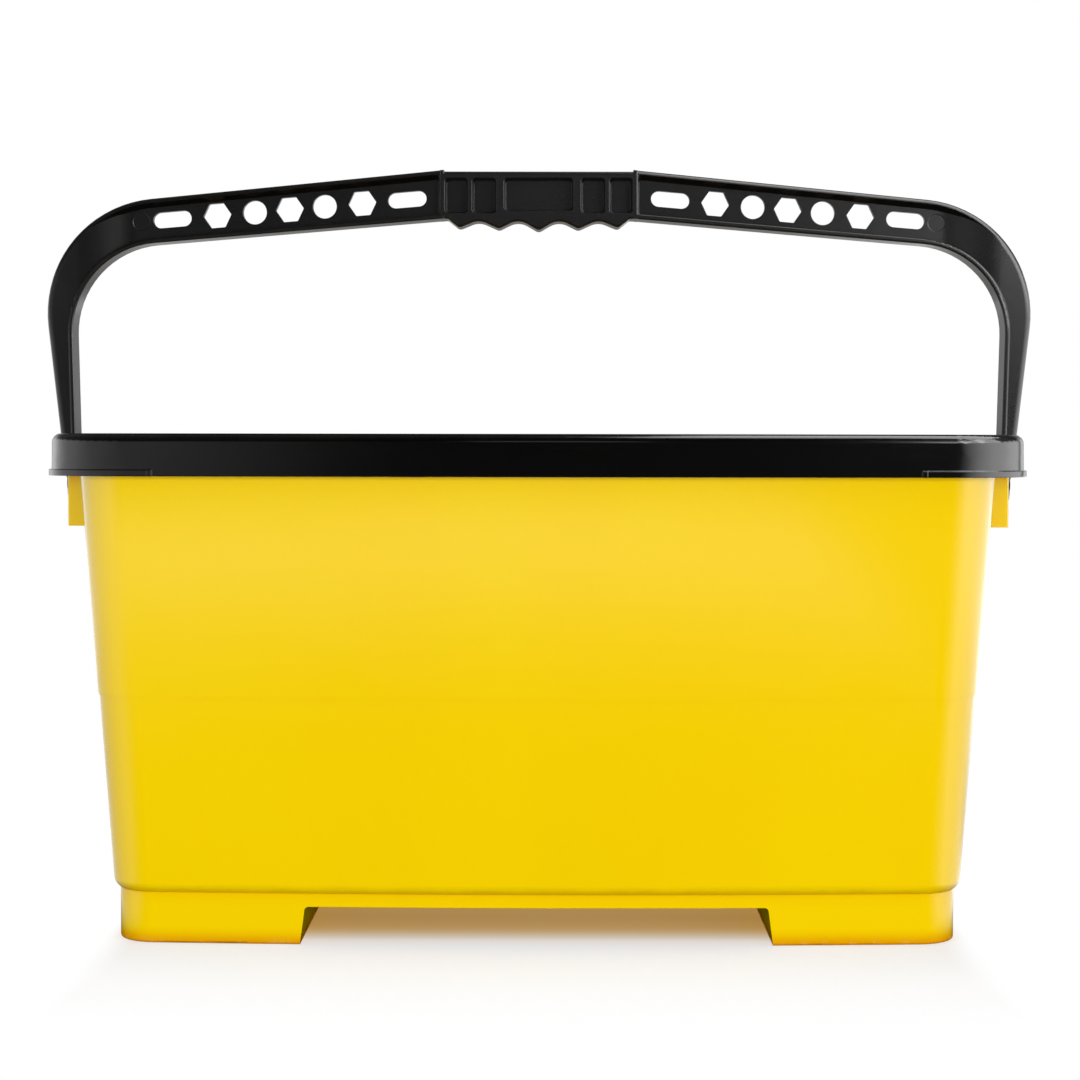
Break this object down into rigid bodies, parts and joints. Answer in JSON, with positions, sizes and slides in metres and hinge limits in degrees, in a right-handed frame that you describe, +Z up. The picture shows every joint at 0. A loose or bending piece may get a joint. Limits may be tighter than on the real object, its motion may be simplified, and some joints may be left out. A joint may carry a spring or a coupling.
{
  "type": "window cleaning bucket",
  "caption": "Rectangular tapered bucket on two feet, with a clip-on rim and a perforated carrying handle that swings on pivot pins.",
  "frame": {"origin": "on the floor under the middle of the bucket, the bottom centre of its box", "axes": "+Z up, +X along the bucket to the right, the front faces -Y"},
  "size_m": [0.5372, 0.2694, 0.4051],
  "materials": {
    "yellow_plastic": "semi-gloss moulded",
    "black_gloss_plastic": "gloss moulded",
    "black_satin_plastic": "satin moulded"
  },
  "bodies": {
    "bucket": {"tub": "yellow_plastic", "rim": "black_gloss_plastic", "left_pivot_pin": "black_satin_plastic", "right_pivot_pin": "black_satin_plastic"},
    "handle": {"handle": "black_satin_plastic"}
  },
  "joints": [
    {"name": "handle_swing", "type": "hinge", "parent": "bucket", "child": "handle", "pos_m": [0, 0, 0.2345], "axis": [1, 0, 0], "range_deg": [-115, 115]}
  ]
}
